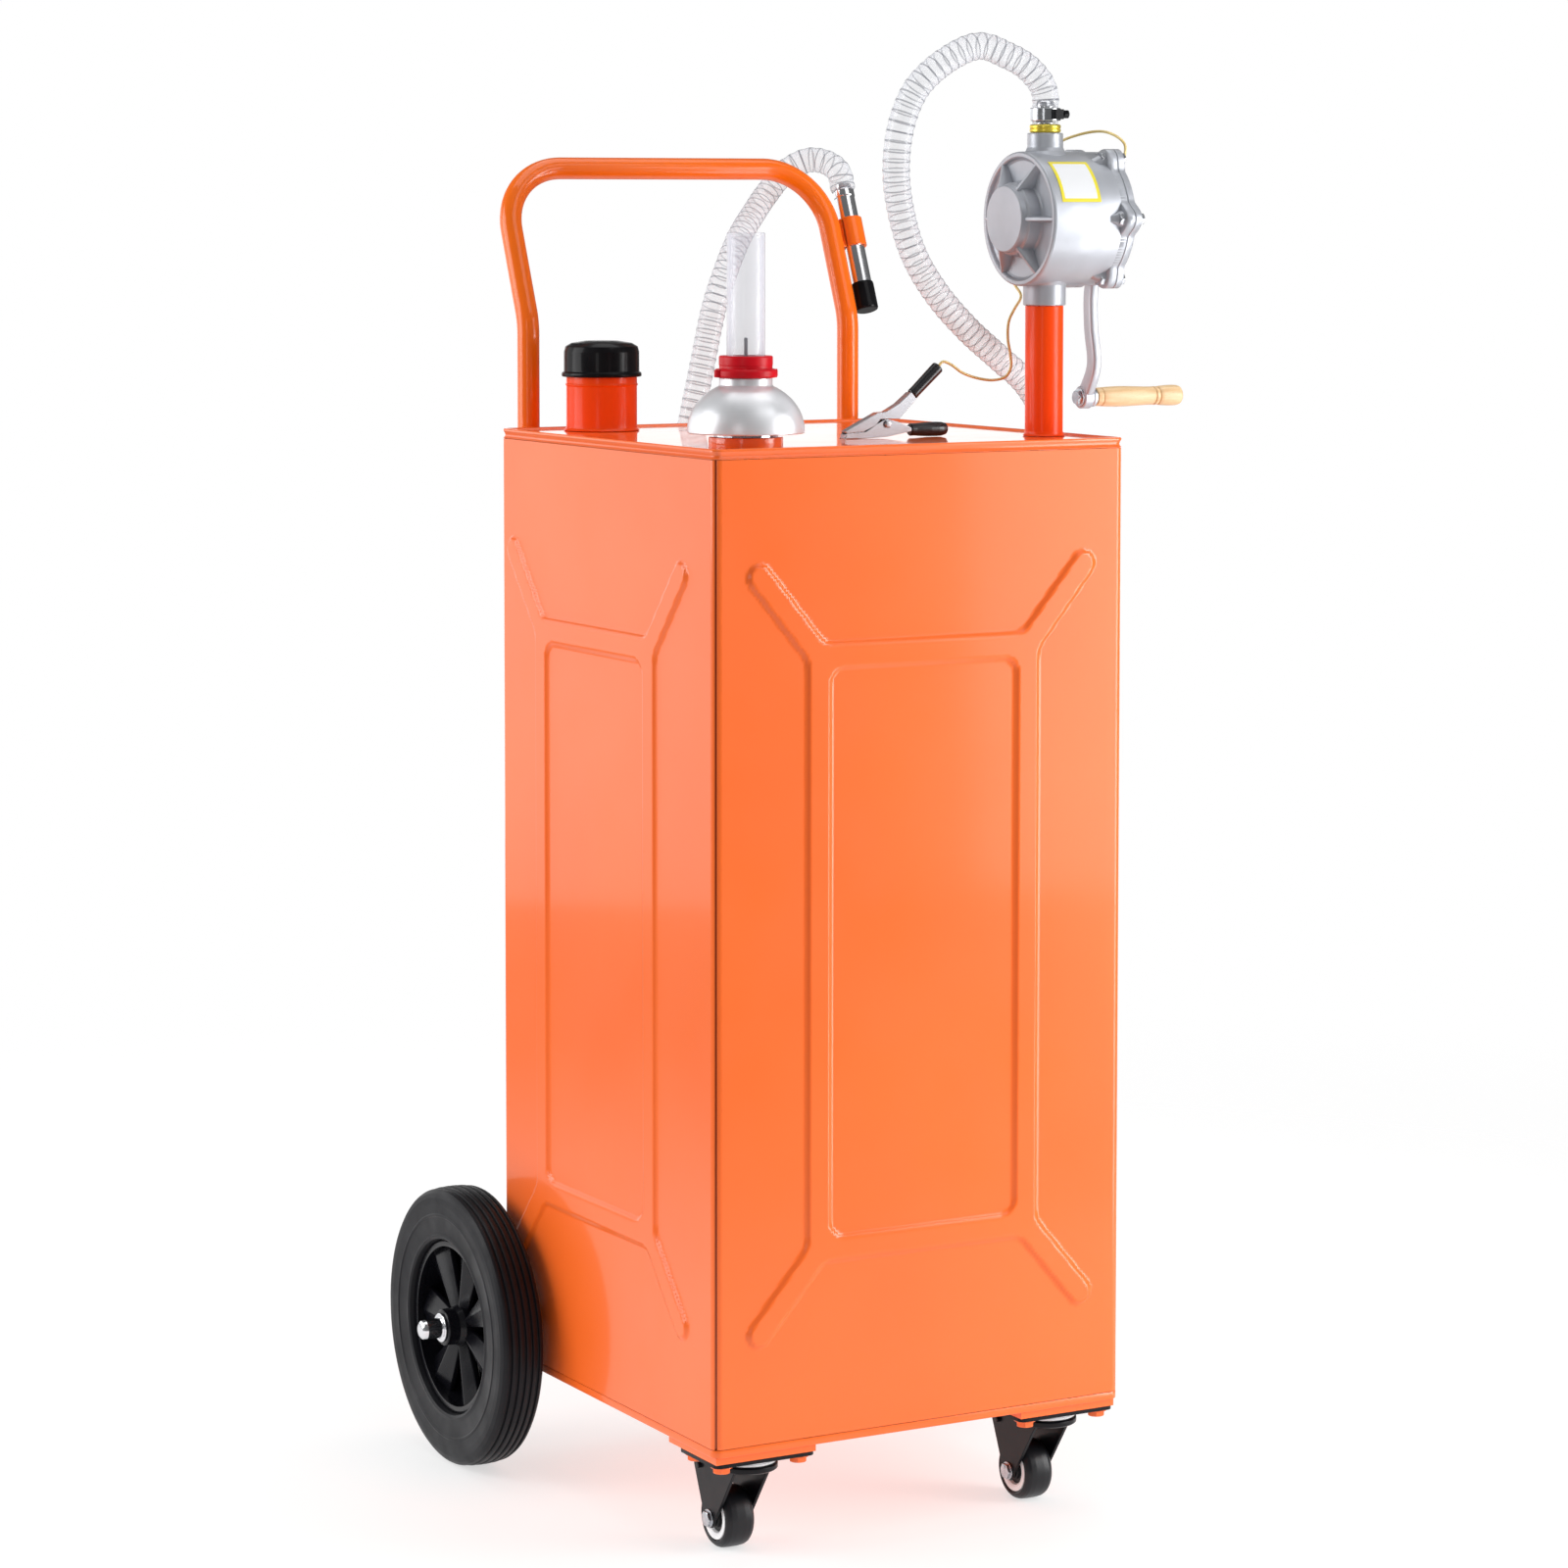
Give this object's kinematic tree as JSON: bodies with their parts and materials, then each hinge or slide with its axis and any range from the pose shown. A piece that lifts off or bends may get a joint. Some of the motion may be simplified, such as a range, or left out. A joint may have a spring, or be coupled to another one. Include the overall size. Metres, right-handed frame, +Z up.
{
  "type": "fuel_caddy",
  "caption": "Wheeled upright steel fuel tank with a hand-cranked pump, ribbed hose and spout, float gauge, filler cap, push handle, rear wheels and braked swivel casters.",
  "frame": {"origin": "on the floor under the middle of the part's box, without its hose, spout, ground wire and clamp", "axes": "+Z up, -Y towards the front panel, +X towards the crank, +Y towards the handle"},
  "size_m": [0.6196, 0.54, 1.2799],
  "materials": {
    "orange_paint": "gloss powder coat",
    "cast": "satin casting",
    "dome": "polished",
    "zinc": "zinc plated",
    "steel": "machined",
    "chrome": "bright",
    "red_plastic": "gloss",
    "black_plastic": "moulded",
    "black_paint": "satin",
    "tyre": "matte",
    "rubber": "matte",
    "foam": "closed-cell",
    "nylon": "moulded",
    "brass": "bright",
    "beech": "turned and waxed",
    "wire_jacket": "extruded",
    "clear": "clear"
  },
  "bodies": {
    "tank": {"front_wall": "orange_paint", "rear_wall": "orange_paint", "left_wall": "orange_paint", "right_wall": "orange_paint", "top_plate": "orange_paint", "bottom_plate": "orange_paint", "filler_neck": "orange_paint", "pump_column": "orange_paint", "push_handle": "orange_paint", "left_handle_bracket": "orange_paint", "right_handle_bracket": "orange_paint", "spout_clip": "orange_paint", "left_axle_bracket": "orange_paint", "right_axle_bracket": "orange_paint", "left_caster_pad": "orange_paint", "right_caster_pad": "orange_paint", "pump_body": "cast", "pump_cover": "cast", "gauge_dome": "dome", "gauge_stem": "zinc", "suction_pipe": "zinc", "axle": "zinc", "hose_clamp": "zinc", "spout": "chrome", "left_axle_cap": "chrome", "right_axle_cap": "chrome", "clamp_lower_jaw": "chrome", "gauge_collar": "red_plastic", "clamp_lower_grip": "black_plastic", "left_caster_plate": "black_paint", "right_caster_plate": "black_paint", "left_caster_race": "nylon", "right_caster_race": "nylon", "outlet_ring": "brass", "ground_wire": "wire_jacket", "hose": "clear", "sight_tube": "clear"},
    "filler_cap": {"filler_cap": "black_plastic"},
    "crank": {"rotor": "steel", "vane_lower": "nylon", "vane_upper": "nylon", "crank_shaft": "zinc", "crank_arm": "cast", "grip_bolt": "zinc"},
    "grip": {"crank_grip": "beech"},
    "float": {"float_arm": "foam"},
    "indicator": {"indicator_rod": "black_paint"},
    "spout_cap": {"spout_cap": "black_plastic"},
    "clamp_upper": {"clamp_upper_jaw": "chrome", "clamp_upper_grip": "black_plastic"},
    "left_wheel": {"left_tyre": "tyre", "left_rim": "black_plastic"},
    "left_swivel": {"left_caster_fork": "black_paint"},
    "left_roller": {"left_caster_wheel": "rubber"},
    "left_brake": {"left_brake_pedal": "black_plastic"},
    "right_wheel": {"right_tyre": "tyre", "right_rim": "black_plastic"},
    "right_swivel": {"right_caster_fork": "black_paint"},
    "right_roller": {"right_caster_wheel": "rubber"},
    "right_brake": {"right_brake_pedal": "black_plastic"}
  },
  "joints": [
    {"name": "cap_lift", "type": "slide", "parent": "tank", "child": "filler_cap", "axis": [0, 0, 1], "range_m": [0, 0.06]},
    {"name": "crank_turn", "type": "hinge", "parent": "tank", "child": "crank", "pos_m": [0.1385, -0.185, 1.121], "axis": [1, 0, 0], "continuous": true},
    {"name": "grip_spin", "type": "hinge", "parent": "crank", "child": "grip", "pos_m": [0.2645, -0.1415, 0.9635], "axis": [1, 0, 0], "continuous": true},
    {"name": "float_swing", "type": "hinge", "parent": "tank", "child": "float", "pos_m": [-0.1648, -0.208, 0.515], "axis": [1, 0, 0], "range_deg": [0, 100]},
    {"name": "indicator_rise", "type": "slide", "parent": "tank", "child": "indicator", "axis": [0, 0, 1], "range_m": [0, 0.083]},
    {"name": "spout_cap_pull", "type": "slide", "parent": "tank", "child": "spout_cap", "axis": [0, -0.3746, -0.9272], "range_m": [0, 0.05]},
    {"name": "clamp_open", "type": "hinge", "parent": "tank", "child": "clamp_upper", "pos_m": [0.0005, -0.147, 0.945], "axis": [0, 1, 0], "range_deg": [0, 18], "stiffness_Nm_per_rad": 0.5, "springref_deg": -17.19},
    {"name": "left_wheel_turn", "type": "hinge", "parent": "tank", "child": "left_wheel", "pos_m": [-0.2645, 0.145, 0.125], "axis": [1, 0, 0], "continuous": true},
    {"name": "left_caster_turn", "type": "hinge", "parent": "tank", "child": "left_swivel", "pos_m": [-0.1805, -0.23, 0.078], "axis": [0, 0, 1], "continuous": true},
    {"name": "left_roller_turn", "type": "hinge", "parent": "left_swivel", "child": "left_roller", "pos_m": [-0.1805, -0.196, 0.026], "axis": [1, 0, 0], "continuous": true},
    {"name": "left_brake_press", "type": "hinge", "parent": "left_swivel", "child": "left_brake", "pos_m": [-0.1805, -0.18, 0.0681], "axis": [-1, 0, 0], "range_deg": [0, 18]},
    {"name": "right_wheel_turn", "type": "hinge", "parent": "tank", "child": "right_wheel", "pos_m": [0.2015, 0.145, 0.125], "axis": [1, 0, 0], "continuous": true},
    {"name": "right_caster_turn", "type": "hinge", "parent": "tank", "child": "right_swivel", "pos_m": [0.1175, -0.23, 0.078], "axis": [0, 0, 1], "continuous": true},
    {"name": "right_roller_turn", "type": "hinge", "parent": "right_swivel", "child": "right_roller", "pos_m": [0.1175, -0.196, 0.026], "axis": [1, 0, 0], "continuous": true},
    {"name": "right_brake_press", "type": "hinge", "parent": "right_swivel", "child": "right_brake", "pos_m": [0.1175, -0.18, 0.0681], "axis": [-1, 0, 0], "range_deg": [0, 18]}
  ],
  "couplings": [
    {"joint": "indicator_rise", "follows": "float_swing", "m_per_rad": 0.04698}
  ]
}
